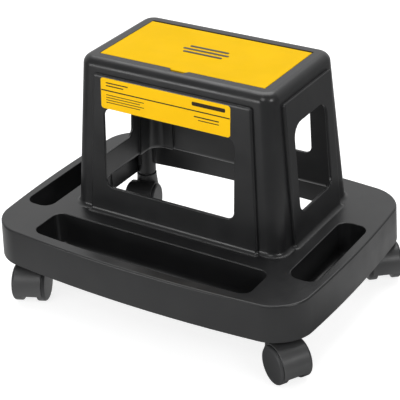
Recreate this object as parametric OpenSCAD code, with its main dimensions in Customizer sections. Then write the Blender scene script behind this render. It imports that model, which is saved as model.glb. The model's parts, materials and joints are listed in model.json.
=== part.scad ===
// Low rolling work seat: a tray base on four twin-wheel swivel casters carries a hollow, windowed seat
// pedestal with a storage well under a hinged lid. +X is the long way, +Y the back, Z = 0 the floor.

/* [Tray base] */
// Half length of the deck, middle of one end to the centre
deck_half_x = 235; // [225:1:245]
// Half depth of the deck
deck_half_y = 172.3; // [168:0.1:180]
// Height of the deck's top above the floor
deck_z = 110; // [108:1:114]
// Height of the skirt's lower edge above the floor
skirt_z = 59; // [56:1:62]
// Corner radius of the deck in plan
deck_corner = 44; // [35:1:55]
// How far the front and back bow outwards
bow_y = 13.8; // [0:0.1:18]
// How far the two ends bow outwards
bow_x = 8; // [0:0.1:12]
// Moulded wall thickness
wall = 3; // [2.5:0.1:3.5]
// Depth of the tool trays
tray_depth = 45; // [30:1:45]

/* [Seat pedestal] */
// How far the pedestal stands behind the middle of the deck
seat_y = 34; // [28:1:36]
// Height of the seat's top above the floor
seat_z = 322.5; // [318:0.5:330]
// Half length of the pedestal's corner columns at the foot
foot_half_x = 158; // [155:0.5:160]
// Half depth of the pedestal's corner columns at the foot
foot_half_y = 96.8; // [95:0.1:98]
// Half length of the pedestal's corner columns at the neck
neck_half_x = 143.7; // [142:0.1:146]
// Half depth of the pedestal's corner columns at the neck
neck_half_y = 83.3; // [82:0.1:85]
// Corner radius of the columns
column_r = 19; // [15:1:22]
// How far the flat panels stand proud of the corner columns
panel_raise = 4.5; // [3:0.1:5]
// Radius with which the seat's edge rolls over into its flat top
rim_r = 11.5; // [9:0.5:12]
// Half width of the front and back windows
window_half_x = 97.4; // [85:0.1:102]
// Half depth of the side windows
window_half_y = 42.5; // [34:0.5:44]
// Lower edge of the front and side windows above the floor
window_low = 150; // [140:1:160]
// Lower edge of the back window above the floor
back_window_low = 158; // [140:1:170]
// Upper edge of the front and back windows above the floor
window_high = 261; // [240:1:261]
// Upper edge of the side windows above the floor
end_window_high = 270; // [250:1:272]

/* [Lid] */
// Half length of the lid
lid_half_x = 121.5; // [118:0.1:122]
// Half depth of the lid
lid_half_y = 62; // [60:0.1:63]
// Thickness of the lid
lid_thick = 3; // [2.5:0.1:3]
// Gap all round the lid
lid_gap = 0.6; // [0.5:0.1:0.8]
// Depth of the storage well below the seat's top
well_depth = 50; // [30:1:52]

/* [Casters] */
// Wheel diameter
wheel_d = 50; // [46:1:50]
// Width of one wheel
wheel_w = 12; // [10:0.5:12]
// Width over both wheels
caster_w = 45; // [43:0.5:46]
// How far the axle trails behind the stem
trail = 22; // [18:0.5:24]
// Distance of the stems from the middle, along X
stem_x = 188; // [186:0.5:189]
// Distance of the stems from the middle, along Y
stem_y = 133; // [131:0.5:134]

/* [Hidden] */
CORNERS = ["fl", "fr", "bl", "br"];
PIECES = ["socket", "stem", "grip_ring", "collar", "hood", "axle", "wheel_left", "wheel_right"];

BODY = "#2c2d2f";
YELLOW = "#fdc616";
LABEL = "#ffd400";
STEEL = "#b9bcc0";
HUB = "#343538";

// Swivel angle of each caster at rest: the way its axle trails, measured from +X
rest_angle = [-67, -30.5, -75, -50];
// How far each stem stands off its corner of the rectangle
stem_shift = [[3, 7], [3.5, 3], [10, 2], [10, 6]];
stem_at = [for (k = [0:3])
    [(k % 2 == 0 ? -1 : 1) * stem_x, (k < 2 ? -1 : 1) * stem_y] + stem_shift[k]];

draft = 2.2;                 // how much wider the skirt is at its lower edge
deck_under = deck_z - wall;
neck_z = seat_z - 19.5;      // height at which the neck sizes hold
panel_high = neck_z + 2;
panel_wall = 4;
foot_r = 6;                  // fillet between the pedestal's foot and the deck
hole_r = 9;                  // rounding of the cavity's lower edge
window_shift = -4;           // the front and back windows and the label sit off their panels' middle
label_half = [96, 20.75];
label_at = [-8, 172];
hinge_y = seat_y + lid_half_y - 4;
hinge_z = seat_z - 4;
barrel_r = 4;
pin_r = 1.5;
wheel_r = wheel_d / 2;
wheel_mid = (caster_w - wheel_w) / 2;
axle_r = 4;
hood_r = wheel_r + 2;
hood_half = caster_w / 2 - 4;
hood_low = 17;               // height of the hood's lower edge above the floor
neck_r = 14.5;
neck_top = skirt_z + 0.6;
boss_low = skirt_z + 3;
stem_r = 5.5;
stem_top = deck_under - 7;
ring_z = stem_top - 6;
fit = 0.06;                  // radial running clearance

// ---- outlines and skins ----

function arc(cx, cy, r, from, steps) =
    [for (i = [0:steps]) let (a = from + 90 * i / steps) [cx + r * cos(a), cy + r * sin(a)]];

function between(a, b, steps) = [for (i = [1:1:steps - 1]) a + (b - a) * i / steps];

// Rounded rectangle about the origin, counter-clockwise, its sides bowed outwards by sx and sy
function outline(hx, hy, r, sx = 0, sy = 0, steps = 8, side = 1) =
    let (
        c = [
            arc(hx - r, -hy + r, r, -90, steps), arc(hx - r, hy - r, r, 0, steps),
            arc(-hx + r, hy - r, r, 90, steps), arc(-hx + r, -hy + r, r, 180, steps)
        ],
        pts = [for (i = [0:3]) each concat(c[i], between(c[i][steps], c[(i + 1) % 4][0], side))]
    )
    [for (p = pts) [p.x * (1 - sx / hx * pow(p.y / hy, 2)), p.y * (1 - sy / hy * pow(p.x / hx, 2))]];

function at_height(pts, z, cx = 0, cy = 0) = [for (p = pts) [p.x + cx, p.y + cy, z]];

// Closed solid through a stack of outlines with equal numbers of points, from the lowest to the highest
module skin(rings) {
    n = len(rings[0]);
    top = (len(rings) - 1) * n;
    polyhedron(
        points = [for (r = rings) each r],
        faces = concat(
            [[for (i = [0:n - 1]) i]],
            [for (k = [0:len(rings) - 2], i = [0:n - 1])
                let (a = k * n + i, b = k * n + (i + 1) % n) each [[a, a + n, b + n], [a, b + n, b]]],
            [[for (i = [n - 1:-1:0]) top + i]]
        )
    );
}

// ---- tray base ----

function deck_ring(grow, z) =
    at_height(outline(deck_half_x + grow, deck_half_y + grow, deck_corner + grow, bow_x, bow_y, 9, 10), z);

// The front tray: its front side follows the bow of the deck
front_tray_half = [162, 31.75];
front_tray_y = -125.2;
function front_tray_ring(grow, z) =
    let (h = front_tray_half + [grow, grow])
    [for (p = outline(h.x, h.y, max(14 + grow, 4), 0, 0, 5, 8))
        [p.x, front_tray_y + p.y + (p.y < 0 ? -p.y / h.y * 6.6 * pow(p.x / 162, 2) : 0), z]];

side_tray_half = [20, 75];
function side_tray_ring(side, grow, z) =
    at_height(
        outline(side_tray_half.x + grow, side_tray_half.y + grow, max(15 + grow, 4), 0, 0, 5),
        z, side * 202, -15
    );

// Inside of a tray: a softened lip, drafted walls and a rounded floor. Each pair is [inset, depth].
TRAY_INSIDE = [[-9, 0], [-5.5, 0.7], [-3, 3], [-1.8, 8], [-0.3, tray_depth - 1.5], [0.8, tray_depth]];
TRAY_OUTSIDE = [[-6, -wall], [-1, 0], [wall - 2, 6], [wall, tray_depth - wall / 2]];

module trays(profile, extra) {
    low = deck_z - tray_depth;
    skin([for (p = profile) front_tray_ring(p[0], low + p[1] + (p[1] == tray_depth ? extra : 0))]);
    for (side = [-1, 1])
        skin([for (p = profile) side_tray_ring(side, p[0], low + p[1] + (p[1] == tray_depth ? extra : 0))]);
}

module stem_boss(at) {
    translate([at.x, at.y, boss_low]) cylinder(r = 14, h = deck_under - boss_low + 1, $fn = 48);
    for (turn = [0:90:270])
        translate([at.x, at.y, 0]) rotate([0, 0, turn]) translate([0, -1.25, 78])
            cube([18, 2.5, deck_under - 77]);
}

module tray_base() color(BODY) {
    difference() {
        union() {
            difference() {
                skin([
                    deck_ring(draft, skirt_z), deck_ring(0.1, deck_z - 2.4),
                    deck_ring(-0.6, deck_z - 0.7), deck_ring(-2.2, deck_z)
                ]);
                skin([deck_ring(draft - wall, skirt_z - 1), deck_ring(-wall, deck_under)]);
            }
            trays(TRAY_OUTSIDE, 0);
            for (at = stem_at) stem_boss(at);
            // ribs from the side trays to the rear bosses
            for (side = [-1, 1])
                translate([side * 188 - 1.25, 61, boss_low])
                    cube([2.5, 72, deck_under + 1 - boss_low]);
        }
        trays(TRAY_INSIDE, 0.5);
        pedestal_inside();
        for (at = stem_at)
            translate([at.x, at.y, boss_low - 1]) cylinder(r = 8, h = stem_top + 3 - boss_low, $fn = 48);
    }
}

// ---- seat pedestal ----

function seat_ring(hx, hy, r, z, steps = 8) = at_height(outline(hx, hy, r, 0, 0, steps), z, 0, seat_y);

// Tapered blocks that make up the pedestal: half sizes at the deck, half sizes at the neck, corner
// radius, and the number of facets of a corner
COLUMNS = [[foot_half_x, foot_half_y], [neck_half_x, neck_half_y], column_r, 8];
LONG_PANELS = [[128, foot_half_y + panel_raise], [116.5, neck_half_y + panel_raise], 4, 3];
END_PANELS = [[foot_half_x + panel_raise, 62.5], [neck_half_x + panel_raise, 61.5], 4, 3];

// Outline of a block at a height, grown outwards
function block_ring(b, z, grow) =
    let (h = b[0] + (b[1] - b[0]) * (z - deck_z) / (neck_z - deck_z))
    seat_ring(h.x + grow, h.y + grow, max(b[2] + grow, 1), z, b[3]);

// Foot of a block, spreading with radius r onto the plane at z
function foot_rings(b, z, r, grow) =
    [for (a = [0:15:90]) block_ring(b, z + r * (1 - cos(a)), grow + r * (1 - sin(a)))];

// Edge of the seat, rolling over with radius r
function rim_rings(r, grow) =
    [for (a = [0:15:90]) block_ring(COLUMNS, seat_z - rim_r + r * sin(a), grow - r * (1 - cos(a)))];

module pedestal_outside() {
    skin(concat(foot_rings(COLUMNS, deck_z, foot_r, 0), rim_rings(rim_r, 0)));
    for (b = [LONG_PANELS, END_PANELS])
        skin(concat(foot_rings(b, deck_z, foot_r, 0), [block_ring(b, panel_high, 0)]));
}

// The cavity, open downwards through the deck
module pedestal_inside() {
    skin(concat(
        [block_ring(COLUMNS, deck_under - 1, hole_r - wall)],
        foot_rings(COLUMNS, deck_under, hole_r, -wall), rim_rings(rim_r - wall, -wall)
    ));
    for (b = [LONG_PANELS, END_PANELS])
        skin(concat(
            [block_ring(b, deck_under - 1, hole_r - panel_wall)],
            foot_rings(b, deck_under, hole_r, -panel_wall), [block_ring(b, panel_high - wall, -panel_wall)]
        ));
}

// Places its child in the outer plane of a panel: x along the panel, y up it, z out of it.
// side 0 is the front, then right, back, left.
module on_panel(side) {
    low = (side % 2 == 0 ? foot_half_y : foot_half_x) + panel_raise;
    high = (side % 2 == 0 ? neck_half_y : neck_half_x) + panel_raise;
    lean = atan((low - high) / (neck_z - deck_z));
    translate([0, seat_y, deck_z]) rotate([0, 0, 90 * side]) translate([0, -low, 0])
        rotate([90 - lean, 0, 0]) children();
}

// Cuts a window through a panel: half width, sideways shift, lower and upper edge, and the corner
// radii below and above
module window(side, half, shift, low, high, r_low, r_high)
    on_panel(side) translate([shift, -deck_z, -20]) linear_extrude(40) polygon(concat(
        arc(half - r_low, low + r_low, r_low, -90, 6), arc(half - r_high, high - r_high, r_high, 0, 6),
        arc(-half + r_high, high - r_high, r_high, 90, 6), arc(-half + r_low, low + r_low, r_low, 180, 6)
    ));

module well_ring_skin(grow, drop) skin([
    seat_ring(100 + grow, 38 + grow, 8, seat_z - well_depth - drop),
    seat_ring(108 + grow, 46 + grow, 12, seat_z - well_depth + 4 - drop),
    seat_ring(113 + grow, 50 + grow, 12, seat_z - 2)
]);

module lid_seat() {
    gap = lid_half_y + lid_gap;
    translate([-lid_half_x - lid_gap, seat_y - gap, seat_z - lid_thick - 0.3])
        cube([2 * (lid_half_x + lid_gap), 2 * gap, 10]);
    // room for the hinge barrel
    translate([-lid_half_x - lid_gap, hinge_y - barrel_r - lid_gap, hinge_z - barrel_r - lid_gap])
        cube([2 * (lid_half_x + lid_gap), 2 * (barrel_r + lid_gap), 20]);
    // notch for the finger tab, and the finger scoop below it
    translate([0, seat_y - lid_half_y, seat_z - lid_thick - 0.3])
        linear_extrude(10) polygon([[-15, 1], [-11, -4.6], [11, -4.6], [15, 1]]);
    translate([0, seat_y - lid_half_y - 2, seat_z]) rotate([0, 90, 0])
        cylinder(r = 6, h = 21, center = true, $fn = 40);
}

module seat_pedestal() color(BODY) {
    difference() {
        union() {
            difference() {
                pedestal_outside();
                difference() {
                    pedestal_inside();
                    // the material under the lid
                    translate([-131, seat_y - lid_half_y - 12, seat_z - 11.5])
                        cube([262, 2 * lid_half_y + 17, 30]);
                }
            }
            well_ring_skin(wall, wall);
        }
        window(0, window_half_x, window_shift, window_low, window_high, 11, 11);
        window(2, window_half_x, window_shift, back_window_low, window_high, 11, 11);
        for (side = [1, 3])
            window(side, window_half_y, 0, window_low, end_window_high, 12, 18);
        well_ring_skin(0, 0);
        lid_seat();
        for (side = [-1, 1])
            translate([side * 124, hinge_y, hinge_z]) rotate([0, 90, 0])
                cylinder(r = pin_r, h = 10, center = true, $fn = 32);
    }
}

module front_label() color(LABEL)
    on_panel(0) linear_extrude(0.4)
        polygon([for (p = outline(label_half.x, label_half.y, 4, 0, 0, 6)) p + label_at]);

// ---- lid ----

module lid() color(YELLOW) {
    front = seat_y - lid_half_y;
    difference() {
        union() {
            translate([0, 0, seat_z - lid_thick]) linear_extrude(lid_thick)
                polygon([
                    [-lid_half_x, front], [-14, front], [-10.5, front - 4], [10.5, front - 4], [14, front],
                    [lid_half_x, front], [lid_half_x, hinge_y], [-lid_half_x, hinge_y]
                ]);
            translate([0, hinge_y, hinge_z]) rotate([0, 90, 0])
                cylinder(r = barrel_r, h = 2 * lid_half_x, center = true, $fn = 48);
            // three raised grip bars in the middle of the lid
            for (k = [-1:1])
                translate([0, seat_y + 9 * k, seat_z - 0.5])
                    linear_extrude(1.1) polygon(outline(34 - 5 * abs(k), 2, 1.9, 0, 0, 5));
            // stiffening frame under the lid, inside the well
            translate([0, seat_y, seat_z - lid_thick - 4]) linear_extrude(4.5) difference() {
                polygon(outline(108, 45, 9, 0, 0, 5));
                polygon(outline(106, 43, 7, 0, 0, 5));
            }
        }
        for (side = [-1, 1])
            translate([side * (lid_half_x - 5), hinge_y, hinge_z]) rotate([0, 90, 0])
                cylinder(r = pin_r + fit, h = 20, center = true, $fn = 32);
    }
}

module hinge_pin(side) color(STEEL)
    translate([side * (lid_half_x - 1), hinge_y, hinge_z]) rotate([0, 90, 0])
        cylinder(r = pin_r, h = 15, center = true, $fn = 32);

// ---- casters: each piece is drawn about its stem, with the axle trailing along +X ----

module place(k) translate([stem_at[k].x, stem_at[k].y, 0]) rotate([0, 0, rest_angle[k]]) children();

module socket() color(HUB) difference() {
    union() {
        translate([0, 0, boss_low]) cylinder(r = 8, h = stem_top + 2 - boss_low, $fn = 48);
        translate([0, 0, boss_low - 1.4]) cylinder(r = 12.5, h = 1.4, $fn = 48);
    }
    translate([0, 0, boss_low - 2]) cylinder(r = stem_r + fit, h = stem_top + 2.5 - boss_low, $fn = 48);
    translate([0, 0, ring_z - 0.6]) cylinder(r = 6.6, h = 3.2, $fn = 48);
}

module stem() color(STEEL) difference() {
    union() {
        translate([0, 0, 34]) cylinder(r = stem_r, h = stem_top - 1 - 34, $fn = 48);
        translate([0, 0, stem_top - 1]) cylinder(r1 = stem_r, r2 = stem_r - 1, h = 1, $fn = 48);
    }
    translate([0, 0, ring_z]) difference() {
        cylinder(r = 8, h = 2, $fn = 48);
        translate([0, 0, -1]) cylinder(r = 4.6, h = 4, $fn = 48);
    }
}

module grip_ring() color(STEEL) difference() {
    translate([0, 0, ring_z + 0.2]) cylinder(r = 6.2, h = 1.6, $fn = 48);
    translate([0, 0, ring_z - 1]) cylinder(r = 4.6, h = 4, $fn = 48);
    translate([0, -1.2, ring_z - 1]) cube([10, 2.4, 4]);
}

module collar() color(STEEL) difference() {
    translate([0, 0, neck_top - 1.8]) cylinder(r = 11.6, h = 1.6, $fn = 48);
    translate([0, 0, neck_top - 3]) cylinder(r = stem_r, h = 5, $fn = 48);
}

// Cylinder lying along the axle, its middle on the caster's centre plane
module across(r, w) translate([trail, 0, wheel_r]) rotate([90, 0, 0])
    cylinder(r = r, h = w, center = true, $fn = 72);

module hood() color(HUB) difference() {
    union() {
        across(hood_r, 2 * hood_half);
        translate([0, 0, 20]) cylinder(r = neck_r, h = neck_top - 20, $fn = 64);
    }
    // the wheels run in two side pockets, open below
    for (side = [-1, 1])
        translate([trail, side * (wheel_mid + 3), wheel_r]) rotate([90, 0, 0])
            cylinder(r = wheel_r + 0.6, h = wheel_w + 7, center = true, $fn = 72);
    // the lower half is open except round the axle
    difference() {
        translate([trail - 60, -40, -20]) cube([120, 80, 20 + hood_low]);
        across(9, 2 * (wheel_mid - wheel_w / 2) - 1);
    }
    translate([trail - 60, -40, -20]) cube([60 - 12, 80, 20 + wheel_r + 3]);
    across(axle_r, 60);
    // cup for the collar, and the hole for the stem
    translate([0, 0, neck_top - 1.8]) cylinder(r = 12.4, h = 4, $fn = 64);
    translate([0, 0, 34]) cylinder(r = stem_r + 0.02, h = 40, $fn = 48);
}

module axle() color(STEEL) across(axle_r, 2 * wheel_mid + 8);

module wheel(side) color(HUB)
    translate([trail, side * wheel_mid, wheel_r]) rotate([-90 * side, 0, 0])
        rotate_extrude($fn = 96) polygon(concat(
            [[axle_r + fit, -wheel_w / 2], [9.5, -wheel_w / 2], [9.5, -wheel_w / 2 + 2.5],
                [wheel_r - 4, -wheel_w / 2 + 2.5], [wheel_r - 4, -wheel_w / 2],
                [wheel_r - 0.8, -wheel_w / 2], [wheel_r, -wheel_w / 2 + 0.8]],
            [for (a = [0:15:75]) [wheel_r - 4 + 4 * cos(a), wheel_w / 2 - 3.5 + 3 * sin(a)]],
            [[wheel_r - 4.6, wheel_w / 2 - 0.5], [wheel_r - 8, wheel_w / 2 - 0.1], [0, wheel_w / 2],
                [0, wheel_w / 2 - 1.5], [axle_r + fit, wheel_w / 2 - 1.5]]
        ));

module caster_piece(p) {
    if (p == "socket") socket();
    if (p == "stem") stem();
    if (p == "grip_ring") grip_ring();
    if (p == "collar") collar();
    if (p == "hood") hood();
    if (p == "axle") axle();
    if (p == "wheel_left") wheel(1);
    if (p == "wheel_right") wheel(-1);
}

tray_base();
seat_pedestal();
lid();
hinge_pin(-1);  // hinge_pin_left
hinge_pin(1);  // hinge_pin_right
front_label();
for (k = [0:3], p = PIECES)
    place(k) caster_piece(p);
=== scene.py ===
"""Looks of the rolling work seat: the moulded base and pedestal, lid, label and casters are rebuilt with
their fillets and rounded edges at the CAD's own places, and every surface gets a procedural material."""

import json
import math

import bpy
import numpy as np
from mathutils import Matrix, Vector


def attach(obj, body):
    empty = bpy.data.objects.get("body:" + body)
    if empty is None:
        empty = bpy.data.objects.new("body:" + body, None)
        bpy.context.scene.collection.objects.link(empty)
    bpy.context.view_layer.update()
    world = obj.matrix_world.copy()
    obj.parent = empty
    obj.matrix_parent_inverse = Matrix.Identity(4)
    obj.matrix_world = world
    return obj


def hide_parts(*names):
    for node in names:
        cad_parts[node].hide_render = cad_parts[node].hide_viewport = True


MM = 0.001
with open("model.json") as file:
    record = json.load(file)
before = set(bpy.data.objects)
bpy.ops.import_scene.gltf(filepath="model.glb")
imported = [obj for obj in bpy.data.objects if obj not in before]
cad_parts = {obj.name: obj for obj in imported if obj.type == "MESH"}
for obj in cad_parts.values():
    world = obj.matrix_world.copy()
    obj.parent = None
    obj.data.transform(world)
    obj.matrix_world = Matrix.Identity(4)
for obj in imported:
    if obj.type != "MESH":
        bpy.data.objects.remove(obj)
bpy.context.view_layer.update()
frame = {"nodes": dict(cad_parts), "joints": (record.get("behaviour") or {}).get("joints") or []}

# The object's own sizes, in millimetres, the same as the CAD's
DECK = dict(hx=235, hy=172.3, r=44, bow_x=8, bow_y=13.8)
DECK_Z, SKIRT_Z, WALL, DRAFT = 110, 59, 3, 2.2
UNDER_Z = DECK_Z - WALL
TRAY_Z = 65
FRONT_TRAY, FRONT_TRAY_BOW, FRONT_TRAY_Y = (162, 31.75, 14), 6.6, -125.2
SIDE_TRAY, SIDE_TRAY_AT = (20, 75, 15), (202, -15)
TRAY_LIP_R = 1.3
BOSS_R, BOSS_Z, SOCKET_R, SOCKET_ROOF, RIB_HALF = 14, SKIRT_Z + 3, 8.02, 4.9, 1.25
SEAT_Y, SEAT_Z = 34, 322.5
FOOT, NECK, COLUMN_R = (158, 96.8), (143.7, 83.3), 19
NECK_Z = SEAT_Z - 19.5
PANEL_RAISE, PANEL_WALL, PANEL_TOP = 4.5, 4, NECK_Z + 2
FOOT_R, HOLE_R, RIM_R = 6, 9, 11.5
LID = (121.5, 62)
LID_THICK, LID_GAP, BARREL_R = 3, 0.6, 4
LID_FRONT = SEAT_Y - LID[1]
HINGE_Y, HINGE_Z = SEAT_Y + LID[1] - BARREL_R, SEAT_Z - BARREL_R
LABEL_HALF, LABEL_AT = (96, 20.75), (-8, 172)
WHEEL_R, WHEEL_MID, WHEEL_W, TRAIL = 25, 16.5, 12, 22
HOOD_R, HOOD_HALF, HOOD_LOW, POCKET_R = 27, 18.5, 17, WHEEL_R + 0.6
NECK_R, NECK_TOP, AXLE_R = 14.5, 59.6, 4
CORNERS = ("fl", "fr", "bl", "br")


# ---- outlines: arrays of (x, y) points, anticlockwise ----


def arc(cx, cy, r, start, steps):
    """A quarter circle, anticlockwise from the angle start in degrees."""
    a = np.radians(start + 90 * np.linspace(0, 1, steps + 1))
    return np.column_stack((cx + r * np.cos(a), cy + r * np.sin(a)))


def rounded(hx, hy, r, bow_x=0, bow_y=0, steps=14, side=1):
    """A rounded rectangle about the origin, its sides bowed outwards."""
    ends = [
        arc(hx - r, r - hy, r, -90, steps),
        arc(hx - r, hy - r, r, 0, steps),
        arc(r - hx, hy - r, r, 90, steps),
        arc(r - hx, r - hy, r, 180, steps),
    ]
    parts = []
    for k, end in enumerate(ends):
        share = np.linspace(0, 1, side + 1)[1:-1, None]
        parts += [end, end[-1] + (ends[(k + 1) % 4][0] - end[-1]) * share]
    x, y = np.vstack(parts).T
    return np.column_stack((x * (1 - bow_x / hx * (y / hy) ** 2), y * (1 - bow_y / hy * (x / hx) ** 2)))


def softened(corners, radii, steps=8):
    """A polygon with each corner rounded to its own radius."""
    p = np.array(corners, float)
    out = []
    for k, r in enumerate(radii):
        a, b = p[k - 1] - p[k], p[(k + 1) % len(p)] - p[k]
        a, b = a / np.linalg.norm(a), b / np.linalg.norm(b)
        half = math.acos(float(np.clip(a @ b, -1, 1))) / 2
        centre = p[k] + (a + b) / np.linalg.norm(a + b) * r / math.sin(half)
        start, end = p[k] + a * r / math.tan(half) - centre, p[k] + b * r / math.tan(half) - centre
        spread = math.pi - 2 * half
        a = np.linspace(0, spread, steps + 1)[:, None]
        out.append(centre + (np.sin(spread - a) * start + np.sin(a) * end) / math.sin(spread))
    return np.vstack(out)


def grow(points, d):
    """The outline moved outwards by d."""
    e = np.roll(points, -1, 0) - points
    n = np.column_stack((e[:, 1], -e[:, 0])) / np.linalg.norm(e, axis=1)[:, None]
    before = np.roll(n, 1, 0)
    return points + d * (n + before) / (1 + (n * before).sum(1))[:, None]


def smooth(points, per):
    """A Catmull-Rom curve through the points, with per steps from each to the next."""
    p = np.array(points, float)
    p = np.vstack((2 * p[0] - p[1], p, 2 * p[-1] - p[-2]))
    t = np.linspace(0, 1, per, endpoint=False)[:, None]
    parts = [
        0.5 * (2 * b + (c - a) * t + (2 * a - 5 * b + 4 * c - d) * t**2 + (3 * b - 3 * c + d - a) * t**3)
        for a, b, c, d in zip(p, p[1:], p[2:], p[3:])
    ]
    return np.vstack(parts + [p[-2:-1]])


# ---- solids ----


def level(points, z):
    return np.column_stack((points, np.full(len(points), float(z))))


def skin(rings, name="tool", matrix=None):
    """A closed solid through a stack of outlines with equal numbers of points, lowest first."""
    n = len(rings[0])
    faces = [list(range(n))[::-1], [(len(rings) - 1) * n + i for i in range(n)]]
    for k in range(len(rings) - 1):
        for i in range(n):
            a, b = k * n + i, k * n + (i + 1) % n
            faces.append((a, b, b + n, a + n))
    mesh = bpy.data.meshes.new(name)
    mesh.from_pydata((np.vstack(rings) * MM).tolist(), [], faces)
    if matrix is not None:
        mesh.transform(matrix)
    obj = bpy.data.objects.new(name, mesh)
    bpy.context.scene.collection.objects.link(obj)
    return obj


def quarter(r, steps=4):
    """(drawn in, up from the end) along a rounded edge of radius r, from the end to the straight side."""
    a = np.linspace(0, math.pi / 2, steps + 1)
    return list(zip(r * (1 - np.sin(a)), r * (1 - np.cos(a)))) if r else [(0, 0)]


def lip(r, steps=4):
    """(narrower, deeper) going into a hole past a rounded edge of radius r."""
    a = np.linspace(0, math.pi / 2, steps + 1)
    return list(zip(r * np.sin(a), r * (1 - np.cos(a)))) if r else [(0, 0)]


def slab(points, low, high, round_low=0.0, round_high=0.0, **kw):
    """The outline raised from low to high, with rounded lower and upper edges."""
    rings = [level(grow(points, -d), low + up) for d, up in quarter(round_low)]
    rings += [level(grow(points, -d), high - up) for d, up in reversed(quarter(round_high))]
    return skin(rings, **kw)


def punch(points, low, high, flare_low, flare_high, reach=6, **kw):
    """A cutter through a wall from low to high that leaves the hole's edges rounded."""
    rings = [level(grow(points, flare_low), low - reach)] if flare_low else [level(points, low - reach)]
    rings += [level(grow(points, flare_low - d), low + up) for d, up in lip(flare_low)]
    rings += [level(grow(points, flare_high - d), high - up) for d, up in reversed(lip(flare_high))]
    rings.append(level(grow(points, flare_high), high + reach))
    return skin(rings, **kw)


def lathe(profile, name="tool", steps=96, matrix=None):
    """A solid of revolution about Z: the profile is its outer (radius, height) points, lowest first."""
    a = np.linspace(0, 2 * math.pi, steps, endpoint=False)
    circle = np.column_stack((np.cos(a), np.sin(a)))
    return skin([level(circle * r, z) for r, z in profile], name, matrix)


def rod(r, low, high, edge=0.0, **kw):
    """A cylinder about Z, its two edges rounded."""
    end = quarter(edge, 3)
    profile = [(r - d, low + up) for d, up in end] + [(r - d, high - up) for d, up in reversed(end)]
    return lathe(profile, **kw)


def brick(low, high, **kw):
    """A box between two opposite corners."""
    (x0, y0, z0), (x1, y1, z1) = low, high
    points = np.array([(x0, y0), (x1, y0), (x1, y1), (x0, y1)], float)
    return skin([level(points, z0), level(points, z1)], **kw)


def combine(target, tool, operation):
    mod = target.modifiers.new("combine", "BOOLEAN")
    mod.operation, mod.object, mod.solver = operation, tool, "MANIFOLD"
    bpy.context.view_layer.objects.active = target
    bpy.ops.object.modifier_apply(modifier=mod.name)
    bpy.data.objects.remove(tool)


def cut(target, *tools):
    for tool in tools:
        combine(target, tool, "DIFFERENCE")


def add(target, *tools):
    for tool in tools:
        combine(target, tool, "UNION")


def finish_surface(obj, angle=32):
    """Smooth shading broken at sharp edges, with flat faces kept flat."""
    obj.data.shade_smooth()
    obj.data.set_sharp_from_angle(angle=math.radians(angle))
    mod = obj.modifiers.new("normals", "WEIGHTED_NORMAL")
    mod.keep_sharp, mod.weight = True, 80


def shift(x=0, y=0, z=0):
    return Matrix.Translation(Vector((x, y, z)) * MM)


def turn(degrees, axis):
    return Matrix.Rotation(math.radians(degrees), 4, axis)


# ---- materials ----


def noise(nodes, links, coords, scale, detail, stretch):
    tex = nodes.new("ShaderNodeTexNoise")
    tex.inputs["Scale"].default_value, tex.inputs["Detail"].default_value = scale, detail
    if stretch:
        mapping = nodes.new("ShaderNodeMapping")
        mapping.inputs["Scale"].default_value = stretch
        links.new(coords, mapping.inputs["Vector"])
        coords = mapping.outputs["Vector"]
    links.new(coords, tex.inputs["Vector"])
    return tex.outputs["Fac"]


def remap(nodes, links, value, low, high):
    """Spreads the middle of a noise's range from low to high."""
    node = nodes.new("ShaderNodeMapRange")
    node.inputs["From Min"].default_value, node.inputs["From Max"].default_value = 0.3, 0.7
    node.inputs["To Min"].default_value, node.inputs["To Max"].default_value = low, high
    links.new(value, node.inputs["Value"])
    return node.outputs["Result"]


GRAIN_DEPTH = 0.00003  # in metres


def material(name, dark, light, rough, grain=1400, specular=0.5, metallic=0.0, stretch=None):
    """Moulded plastic or drawn metal: mottled colour, uneven gloss and a fine grain."""
    mat = bpy.data.materials.new(name)
    mat.use_nodes = True
    nodes, links = mat.node_tree.nodes, mat.node_tree.links
    shader = nodes["Principled BSDF"]
    coords = nodes.new("ShaderNodeTexCoord").outputs["Object"]
    mix = nodes.new("ShaderNodeMix")
    mix.data_type = "RGBA"
    mix.inputs["A"].default_value, mix.inputs["B"].default_value = (*dark, 1), (*light, 1)
    links.new(remap(nodes, links, noise(nodes, links, coords, 22, 4, stretch), 0, 1), mix.inputs["Factor"])
    links.new(mix.outputs["Result"], shader.inputs["Base Color"])
    patches = noise(nodes, links, coords, 34, 5, stretch)
    links.new(remap(nodes, links, patches, rough - 0.05, rough + 0.05), shader.inputs["Roughness"])
    bump = nodes.new("ShaderNodeBump")
    bump.inputs["Distance"].default_value = GRAIN_DEPTH
    links.new(noise(nodes, links, coords, grain, 2, stretch), bump.inputs["Height"])
    links.new(bump.outputs["Normal"], shader.inputs["Normal"])
    shader.inputs["Specular IOR Level"].default_value = specular
    shader.inputs["Metallic"].default_value = metallic
    return mat


BODY = material("body_moulding", (0.0125, 0.0128, 0.0135), (0.0165, 0.0168, 0.0175), 0.33)
LID_PLASTIC = material("lid_moulding", (0.75, 0.45, 0.002), (0.80, 0.48, 0.003), 0.6, specular=0.04)
FILM = material("label_film", (0.92, 0.53, 0.003), (0.96, 0.56, 0.004), 0.45, grain=500, specular=0.06)
PRINT = material("label_print", (0.025, 0.016, 0.008), (0.04, 0.025, 0.010), 0.5, specular=0.15)
HOUSING = material("caster_moulding", (0.046, 0.0465, 0.0475), (0.058, 0.0585, 0.0595), 0.38)
NYLON = material("wheel_nylon", (0.030, 0.0305, 0.0315), (0.040, 0.0405, 0.042), 0.42, specular=0.36)
STEEL = material("zinc_steel", (0.46, 0.47, 0.48), (0.58, 0.58, 0.59), 0.32, metallic=1, stretch=(1, 1, 14))
FLOOR = material("floor", (0.48, 0.48, 0.48), (0.50, 0.50, 0.50), 0.7, grain=60, specular=0.1)


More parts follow.
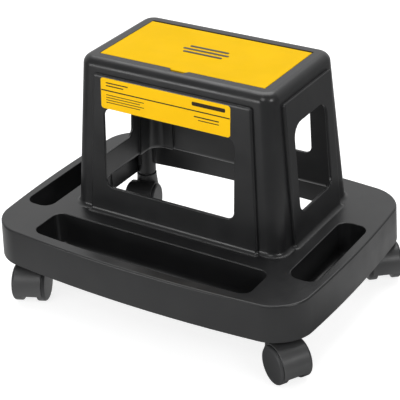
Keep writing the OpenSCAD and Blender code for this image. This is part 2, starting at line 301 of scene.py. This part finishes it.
def dress(obj, mat, body=None, replaces=()):
    """Gives a piece its material, and its slot, body and replaced CAD nodes where it has them."""
    obj.data.materials.clear()
    obj.data.materials.append(mat)
    if body:
        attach(obj, body)
    if replaces:
        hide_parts(*replaces)


# ---- tray base ----


def deck_level(out, z):
    return level(grow(rounded(**DECK, side=12), out), z)


def front_tray():
    """Outline of the front tray: its front side follows the bow of the deck."""
    p = rounded(*FRONT_TRAY, steps=8, side=10)
    hx, hy, _ = FRONT_TRAY
    bow = np.where(p[:, 1] < 0, -p[:, 1] / hy * FRONT_TRAY_BOW * (p[:, 0] / hx) ** 2, 0)
    return p + np.column_stack((np.zeros(len(p)), bow + FRONT_TRAY_Y))


def side_tray(side):
    x, y = SIDE_TRAY_AT
    return rounded(*SIDE_TRAY, steps=8) + (side * x, y)


def tray_cutter(points):
    """Inside of a tray: rounded lip, drafted walls, generous fillet round the floor."""
    fillet = smooth([(-9, 0), (-5.6, 0.7), (-3.2, 2.7), (-2.0, 6), (-1.6, 10)], 3)
    rings = [level(grow(points, d), TRAY_Z + up) for d, up in fillet]
    rings += [level(grow(points, TRAY_LIP_R - d), DECK_Z - up) for d, up in reversed(lip(TRAY_LIP_R))]
    return skin(rings + [level(grow(points, TRAY_LIP_R), DECK_Z + 4)])


def tray_shell(points):
    """Outside of a tray, under the deck."""
    profile = [(-6, -WALL), (-1.5, -2), (0.8, 1.5), (1.4, 6), (WALL, DECK_Z - 1.5 - TRAY_Z)]
    return skin([level(grow(points, d), TRAY_Z + up) for d, up in profile])


def make_base():
    edge = [(DRAFT * 0.03 - d, DECK_Z - up) for d, up in reversed(quarter(2.6, 6))]
    skirt = [(DRAFT - 0.7, SKIRT_Z), (DRAFT - 0.1, SKIRT_Z + 0.7)]
    base = skin([deck_level(*e) for e in skirt + edge], "moulded_body")
    inside = [(DRAFT - WALL, SKIRT_Z - 1), (-WALL, UNDER_Z - 2), (-WALL - 2, UNDER_Z)]
    cut(base, skin([deck_level(*e) for e in inside]))
    trays = [front_tray(), side_tray(1), side_tray(-1)]
    add(base, *[tray_shell(t) for t in trays])
    for x, y in STEMS:
        add(base, rod(BOSS_R, BOSS_Z, UNDER_Z + 1, edge=0.8, steps=48, matrix=shift(x, y)))
        for k in range(4):
            at = shift(x, y) @ turn(90 * k, "Z")
            add(base, brick((0, -RIB_HALF, 78), (18, RIB_HALF, UNDER_Z + 1), matrix=at))
    for x in (-188, 188):
        add(base, brick((x - RIB_HALF, 61, BOSS_Z), (x + RIB_HALF, 133, UNDER_Z + 1)))
    cut(base, *[tray_cutter(t) for t in trays])
    for x, y in STEMS:
        cut(base, rod(SOCKET_R, SKIRT_Z, UNDER_Z - SOCKET_ROOF, steps=48, matrix=shift(x, y)))
    return base


# ---- seat pedestal ----

# Tapered blocks that make up the pedestal: half sizes at the deck and at the neck, and corner radius
COLUMNS = (FOOT, NECK, COLUMN_R)
LONG_PANELS = ((128, FOOT[1] + PANEL_RAISE), (116.5, NECK[1] + PANEL_RAISE), 3)
END_PANELS = ((FOOT[0] + PANEL_RAISE, 62.5), (NECK[0] + PANEL_RAISE, 61.5), 3)


def seat_level(hx, hy, r, z):
    return level(rounded(hx, hy, r) + (0, SEAT_Y), z)


def block_level(block, z, out_x, out_y=None):
    """Outline of a block at a height, grown outwards."""
    out_y = out_x if out_y is None else out_y
    foot, neck, r = block
    t = (z - DECK_Z) / (NECK_Z - DECK_Z)
    hx, hy = (f + (n - f) * t for f, n in zip(foot, neck))
    return seat_level(hx + out_x, hy + out_y, max(r + min(out_x, out_y), 0.8), z)


def foot_levels(block, z, r, out=0.0, steps=8):
    """Foot of a block, spreading with radius r onto the plane at z."""
    return [block_level(block, z + up, out + r - side) for side, up in lip(r, steps)]


def rim_levels(r, out=0.0, steps=10):
    """Edge of the seat, rolling over with radius r into the flat top."""
    return [block_level(COLUMNS, SEAT_Z - RIM_R + r - up, out - d) for d, up in reversed(quarter(r, steps))]


def panel_top(block):
    """Upper end of a raised panel: rounded corners, and a softer edge on its face."""
    ends = block is END_PANELS
    rings = []
    for a in np.linspace(0, math.pi / 2, 7):
        corner, edge, up = 4 * (1 - math.cos(a)), 1.6 * (1 - math.cos(a)), 4 * (1 - math.sin(a))
        out = (-edge, -corner) if ends else (-corner, -edge)
        rings.append(block_level(block, PANEL_TOP - up, *out))
    return rings


def pedestal_outside():
    """The four columns and the rim as one block, with the four raised panels on it."""
    low = DECK_Z - 1
    rings = [block_level(COLUMNS, low, FOOT_R)] + foot_levels(COLUMNS, DECK_Z, FOOT_R)
    seat = skin(rings + rim_levels(RIM_R))
    for panels in (LONG_PANELS, END_PANELS):
        rings = [block_level(panels, low, FOOT_R)] + foot_levels(panels, DECK_Z, FOOT_R)
        add(seat, skin(rings + panel_top(panels)))
    return seat


def cavity():
    """The hollow under the seat, open downwards through the deck."""
    rings = [block_level(COLUMNS, UNDER_Z - 1, HOLE_R - WALL)]
    rings += foot_levels(COLUMNS, UNDER_Z, HOLE_R, -WALL)
    hollow = skin(rings + rim_levels(RIM_R - WALL, -WALL))
    for panels in (LONG_PANELS, END_PANELS):
        rings = [block_level(panels, UNDER_Z - 1, HOLE_R - PANEL_WALL)]
        rings += foot_levels(panels, UNDER_Z, HOLE_R, -PANEL_WALL)
        add(hollow, skin(rings + [block_level(panels, PANEL_TOP - WALL, -PANEL_WALL)]))
    # solid material is left under the lid seat and round the hinge
    front, back = SEAT_Y - LID[1] - 12, SEAT_Y + LID[1] + 5
    cut(hollow, brick((-131, front, SEAT_Z - RIM_R), (131, back, SEAT_Z + 10)))
    return hollow


def panel_frame(side):
    """From panel coordinates, x along the panel, y up it and z out of it, to the frame. 0 is the front."""
    k = 1 if side % 2 == 0 else 0
    low, high = FOOT[k] + PANEL_RAISE, NECK[k] + PANEL_RAISE
    lean = math.degrees(math.atan((low - high) / (NECK_Z - DECK_Z)))
    return shift(0, SEAT_Y, DECK_Z) @ turn(90 * side, "Z") @ shift(0, -low) @ turn(90 - lean, "X")


# Windows, from the front round to the left: half width, middle, lower and upper edge, and the corner
# radii below and above
WINDOWS = [(97.4, -4, 150, 261, 11, 11), (42.5, 0, 150, 270, 12, 18)]
WINDOWS += [(97.4, -4, 158, 261, 11, 11), (42.5, 0, 150, 270, 12, 18)]


def window_outline(side):
    """A window in its panel's own coordinates."""
    half, middle, low, high, r_low, r_high = WINDOWS[side]
    low, high = low - DECK_Z, high - DECK_Z
    corners = [(middle - half, low), (middle + half, low), (middle + half, high), (middle - half, high)]
    return softened(corners, (r_low, r_low, r_high, r_high))


def well_levels(out, drop):
    """The storage well: (half length, half depth, corner radius, depth) from its floor up."""
    shape = [(100, 38, 8, 50), (105, 43, 10.5, 49.2), (108, 46, 12, 46), (113, 50, 12, 2)]
    rings = []
    for x, y, r, deep in shape:
        z = SEAT_Z - deep - (drop if deep > 40 else 0)
        rings.append(seat_level(x + out, y + out, r + out, z))
    return rings


def lid_outline():
    """The lid's rectangle, with its finger tab in the middle of the front edge."""
    front, tab = LID_FRONT, LID_FRONT - 4
    corners = [(-LID[0], front), (-14, front), (-10.5, tab), (10.5, tab), (14, front)]
    corners += [(LID[0], front), (LID[0], HINGE_Y), (-LID[0], HINGE_Y)]
    return np.array(corners, float)


def cut_lid_seat(seat):
    """The step the lid lies in, the hinge's trough, the finger notch and scoop, and the pin holes."""
    hx, hy = LID[0] + LID_GAP, LID[1] + LID_GAP
    floor = SEAT_Z - LID_THICK - 0.3
    opening = rounded(hx, hy, 1.2, steps=4) + (0, SEAT_Y)
    cut(seat, punch(opening, floor, SEAT_Z, 0, 0.7, reach=0.0001))
    out = BARREL_R + LID_GAP
    cut(seat, brick((-hx, HINGE_Y - out, HINGE_Z - out), (hx, HINGE_Y + out, SEAT_Z - 1)))
    inner, outer = LID_FRONT + 1, LID_FRONT - 4.6
    corners = [(-15, inner), (-11, outer), (11, outer), (15, inner)]
    notch = softened(corners, (0.5, 1.5, 1.5, 0.5), 4)
    cut(seat, punch(notch, floor, SEAT_Z, 0, 0.6, reach=0.0001))
    scoop = rod(6, -10.5, 10.5, edge=2, steps=64, matrix=shift(0, LID_FRONT - 2, SEAT_Z) @ turn(90, "Y"))
    cut(seat, scoop)
    for side in (-1, 1):
        cut(seat, rod(1.52, -5, 5, steps=32, matrix=shift(side * 124, HINGE_Y, HINGE_Z) @ turn(90, "Y")))


def make_body():
    body = make_base()
    body.name = "moulded_body"
    add(body, pedestal_outside())
    cut(body, cavity())
    add(body, skin(well_levels(3, 3)))
    for side in range(4):
        cut(body, punch(window_outline(side), -PANEL_WALL, 0, 0.9, 1.1, matrix=panel_frame(side)))
    cut(body, skin(well_levels(0, 0)))
    cut_lid_seat(body)
    finish_surface(body)
    dress(body, BODY, "frame", ("tray_base", "seat_pedestal"))


# ---- lid and label ----


def make_lid():
    lid = slab(lid_outline(), SEAT_Z - LID_THICK, SEAT_Z, 0.3, 0.7, name="lid_panel")
    along = shift(0, HINGE_Y, HINGE_Z) @ turn(90, "Y")
    add(lid, rod(BARREL_R, -LID[0] + 0.05, LID[0] - 0.05, edge=0.4, matrix=along))
    lip_low, lip_high = SEAT_Z - LID_THICK - 4, SEAT_Z - LID_THICK + 0.5
    stiffener = slab(rounded(108, 45, 9) + (0, SEAT_Y), lip_low, lip_high, 0.6)
    cut(stiffener, slab(rounded(106, 43, 7) + (0, SEAT_Y), lip_low - 1, lip_high + 1))
    add(lid, stiffener)
    for side in (-1, 1):
        at = shift(side * (LID[0] - 5), HINGE_Y, HINGE_Z) @ turn(90, "Y")
        cut(lid, rod(1.56, -10, 10, steps=32, matrix=at))
    finish_surface(lid)
    dress(lid, LID_PLASTIC, "lid", ("lid",))
    for k in (-1, 0, 1):
        outline = rounded(34 - 5 * abs(k), 2, 1.95, steps=8) + (0, SEAT_Y + 9 * k)
        bar = slab(outline, SEAT_Z - 0.3, SEAT_Z + 0.6, 0, 0.5, name=f"grip_bar_{k + 2}")
        finish_surface(bar)
        dress(bar, BODY, "lid")


def make_label():
    frame_of = panel_frame(0)
    outline = rounded(*LABEL_HALF, 4, steps=8) + LABEL_AT
    label = slab(outline, 0, 0.4, 0, 0.15, name="label", matrix=frame_of)
    finish_surface(label)
    dress(label, FILM, "frame", ("front_label",))

    # plain rules and bars: (left, width, middle height, thickness) from the label's lower left corner
    bars = [(0.5, 191, 25, 1.6), (137, 48, 34, 5.2)]
    bars += [(8, 34, 35.5, 1.5), (8, 27, 31.6, 1.5)]
    bars += [(8, 58 - 6 * (k % 2), 19.2 - 3.4 * k, 1.0) for k in range(4)]
    bars += [(140, 36, 17.5, 1.6), (146, 30, 13.4, 1.2)]
    left, low = LABEL_AT[0] - LABEL_HALF[0], LABEL_AT[1] - LABEL_HALF[1]
    rules = []
    for x, width, up, thick in bars:
        outline = rounded(width / 2, thick / 2, thick * 0.3, steps=3) + (left + x + width / 2, low + up)
        rules.append(slab(outline, 0.3, 0.46, name="label_rules", matrix=frame_of))
    ink = rules[0]
    add(ink, *rules[1:])
    finish_surface(ink)
    dress(ink, PRINT, "frame")


# ---- casters ----


def joint(name):
    return next(j for j in frame["joints"] if j["name"] == name)


def caster_frame(corner):
    """From a caster's own coordinates, stem at the origin and axle trailing along +X, to the frame."""
    stem = Vector(joint(f"swivel_{corner}")["pos_m"][:2])
    axle = Vector(joint(f"roll_left_{corner}")["pos_m"][:2])
    trail = axle - stem
    return Matrix.Translation((*stem, 0)) @ turn(math.degrees(math.atan2(trail.y, trail.x)), "Z")


STEMS = [tuple(v / MM for v in joint(f"swivel_{c}")["pos_m"][:2]) for c in CORNERS]


def across(side=1):
    """Turns Z onto the axle, about the axle's middle."""
    return shift(TRAIL, 0, WHEEL_R) @ turn(-90 * side, "X")


def make_hood(corner):
    at = caster_frame(corner)
    name = f"hood_shell_{corner}"
    hood = rod(HOOD_R, -HOOD_HALF, HOOD_HALF, edge=0.7, name=name, steps=128, matrix=across())
    neck = [(16.2, 20), (15.9, 40), (15.3, 46), (14.8, 51), (NECK_R, 54)]
    neck += [(NECK_R, NECK_TOP - 0.8), (NECK_R - 0.8, NECK_TOP)]
    add(hood, lathe(neck))
    for side in (1, -1):
        cut(hood, rod(POCKET_R, 10, 30, edge=1.2, steps=128, matrix=across(side)))
    below = brick((TRAIL - 60, -40, -20), (TRAIL + 60, 40, HOOD_LOW))
    cut(below, rod(9, -10, 10, steps=64, matrix=across()))
    cut(hood, below, brick((TRAIL - 60, -40, -20), (10, 40, WHEEL_R + 3)))
    cut(hood, rod(AXLE_R + 0.01, -40, 40, steps=48, matrix=across()))
    cup, stem_hole = rod(12.4, NECK_TOP - 1.8, NECK_TOP + 4), rod(5.52, 34, 80, steps=48)
    cut(hood, cup, stem_hole)
    hood.data.transform(at)
    finish_surface(hood)
    dress(hood, HOUSING, f"caster_{corner}", (f"hood_{corner}",))


def make_wheel(corner, which):
    side = 1 if which == "left" else -1
    half = WHEEL_W / 2
    turns = np.linspace(0, 1.45, 9)
    shoulder = [(WHEEL_R - 4 + 4 * math.cos(a), half - 3.5 + 3.5 * math.sin(a)) for a in turns]
    face = [(WHEEL_R - 5.2, half - 0.05), (WHEEL_R - 8, half), (0.6, half)]
    back = [(WHEEL_R - 1.0, -half), (WHEEL_R - 0.3, -half + 0.3), (WHEEL_R, -half + 1.0)]
    name = f"wheel_{which}_disc_{corner}"
    at = caster_frame(corner) @ shift(0, side * WHEEL_MID, 0) @ across(side)
    wheel = lathe([(0.6, -half), *back, *shoulder, *face], name=name, steps=128)
    groove = rod(WHEEL_R - 4, -half - 2, -half + 2.5, steps=96)
    cut(groove, rod(9.5, -half - 3, half, steps=64))
    cut(wheel, groove, rod(AXLE_R + 0.06, -half - 2, half - 1.5, steps=48))
    wheel.data.transform(at)
    finish_surface(wheel, 40)
    dress(wheel, NYLON, f"wheel_{which}_{corner}", (f"wheel_{which}_{corner}",))


def dress_cad_nodes():
    """The plain turned pieces keep their CAD shape."""
    for name in ("hinge_pin_left", "hinge_pin_right"):
        dress(frame["nodes"][name], STEEL)
    for corner in CORNERS:
        dress(frame["nodes"][f"socket_{corner}"], HOUSING)
        for piece in ("stem", "grip_ring", "collar", "axle"):
            dress(frame["nodes"][f"{piece}_{corner}"], STEEL)


# ---- studio ----


def make_camera():
    """Three-quarter view from the front right, a little above."""
    azimuth, elevation, roll = (math.radians(v) for v in (31.84, 28.51, -2.04))
    level_look = Vector((-math.sin(azimuth), math.cos(azimuth), 0))
    look = level_look * math.cos(elevation) - Vector((0, 0, math.sin(elevation)))
    right = Vector((math.cos(azimuth), math.sin(azimuth), 0))
    up = right.cross(look)
    x_axis = right * math.cos(roll) + up * math.sin(roll)
    y_axis = up * math.cos(roll) - right * math.sin(roll)
    camera = bpy.data.objects.new("camera", bpy.data.cameras.new("camera"))
    camera.data.lens, camera.data.sensor_width = 122.88, 36
    camera.data.shift_x, camera.data.shift_y = -0.0757, -0.035
    turned = Matrix((x_axis, y_axis, -look)).transposed().to_4x4()
    camera.matrix_world = Matrix.Translation((0.8716, -1.3223, 1.0029)) @ turned
    bpy.context.scene.collection.objects.link(camera)
    bpy.context.scene.camera = camera


LIT_POINT = Vector((0, 0, 0.15))


def area_light(name, position, width, height, power):
    light = bpy.data.lights.new(name, "AREA")
    light.shape, light.size, light.size_y, light.energy = "RECTANGLE", width, height, power
    obj = bpy.data.objects.new(name, light)
    obj.location = position
    obj.rotation_euler = (LIT_POINT - Vector(position)).to_track_quat("-Z", "Y").to_euler()
    bpy.context.scene.collection.objects.link(obj)


def make_world():
    """A dim room with one broad pale wall behind and to the left."""
    world = bpy.data.worlds.new("studio")
    world.use_nodes = True
    nodes, links = world.node_tree.nodes, world.node_tree.links
    aim = nodes.new("ShaderNodeVectorMath")
    aim.operation = "DOT_PRODUCT"
    aim.inputs[1].default_value = Vector((-0.47, 0.75, 0.46)).normalized()
    links.new(nodes.new("ShaderNodeTexCoord").outputs["Generated"], aim.inputs[0])
    fade = nodes.new("ShaderNodeMapRange")
    fade.interpolation_type = "SMOOTHSTEP"
    fade.inputs["From Min"].default_value, fade.inputs["From Max"].default_value = 0.1, 0.9
    fade.inputs["To Min"].default_value, fade.inputs["To Max"].default_value = 0.17, 0.85
    links.new(aim.outputs["Value"], fade.inputs["Value"])
    links.new(fade.outputs["Result"], nodes["Background"].inputs["Strength"])
    nodes["Background"].inputs["Color"].default_value = (1, 1, 1, 1)
    bpy.context.scene.world = world


def make_bounce_card():
    """A glowing card on the floor, seen only in the object's reflections: it paints a soft pool of light
    round the object and a painted shadow under it.
    """
    mat = bpy.data.materials.new("bounce_card")
    mat.use_nodes = True
    nodes, links = mat.node_tree.nodes, mat.node_tree.links
    nodes.remove(nodes["Principled BSDF"])
    glow = nodes.new("ShaderNodeEmission")
    reach = nodes.new("ShaderNodeVectorMath")
    reach.operation = "LENGTH"
    links.new(nodes.new("ShaderNodeTexCoord").outputs["Object"], reach.inputs[0])
    ramp = nodes.new("ShaderNodeValToRGB")
    ramp.color_ramp.interpolation = "EASE"
    stops = ramp.color_ramp.elements
    # painted shadow: the card glows least in its middle, under the object; a painted pool of light rings it
    # and fades outwards
    painted_light_and_shadow = [(0.22, 0.06), (0.40, 0.66), (0.60, 0.66), (1.0, 0.13)]
    for place, _ in painted_light_and_shadow[1:-1]:
        stops.new(place)
    for stop, (place, value) in zip(stops, painted_light_and_shadow):
        stop.position, stop.color = place, (value, value, value, 1)
    links.new(reach.outputs["Value"], ramp.inputs["Fac"])
    links.new(ramp.outputs["Color"], glow.inputs["Color"])
    links.new(glow.outputs["Emission"], nodes["Material Output"].inputs["Surface"])
    card = bpy.data.objects.new("bounce_card", bpy.data.meshes.new("bounce_card"))
    card.data.from_pydata([(-1, -1, 0), (1, -1, 0), (1, 1, 0), (-1, 1, 0)], [], [(0, 1, 2, 3)])
    card.data.materials.append(mat)
    card.scale = (0.72, 0.52, 1)
    card.location = (0.10, -0.06, -0.001)
    card.visible_camera = card.visible_diffuse = card.visible_shadow = False
    bpy.context.scene.collection.objects.link(card)


def make_studio():
    floor = bpy.data.objects.new("floor", bpy.data.meshes.new("floor"))
    far = 60
    corners = [(-far, -far, 0), (far, -far, 0), (far, far, 0), (-far, far, 0)]
    floor.data.from_pydata(corners, [], [(0, 1, 2, 3)])
    shader = FLOOR.node_tree.nodes["Principled BSDF"]
    shader.inputs["Emission Color"].default_value = (1, 1, 1, 1)
    shader.inputs["Emission Strength"].default_value = 0.8
    floor.data.materials.append(FLOOR)
    floor.visible_glossy = False
    bpy.context.scene.collection.objects.link(floor)
    make_bounce_card()
    area_light("overhead", (-0.3, 0.7, 2.2), 2.2, 1.6, 36)
    area_light("front_left", (-0.95, -1.85, 0.32), 0.7, 0.55, 10)
    area_light("front", (0.15, -1.7, 1.7), 0.8, 0.8, 9)
    area_light("right", (1.7, -0.6, 1.1), 0.6, 0.5, 8)
    make_world()
    bpy.context.scene.view_settings.view_transform = "Standard"


make_camera()
make_studio()
make_body()
make_lid()
make_label()
for corner in CORNERS:
    make_hood(corner)
    make_wheel(corner, "left")
    make_wheel(corner, "right")
dress_cad_nodes()
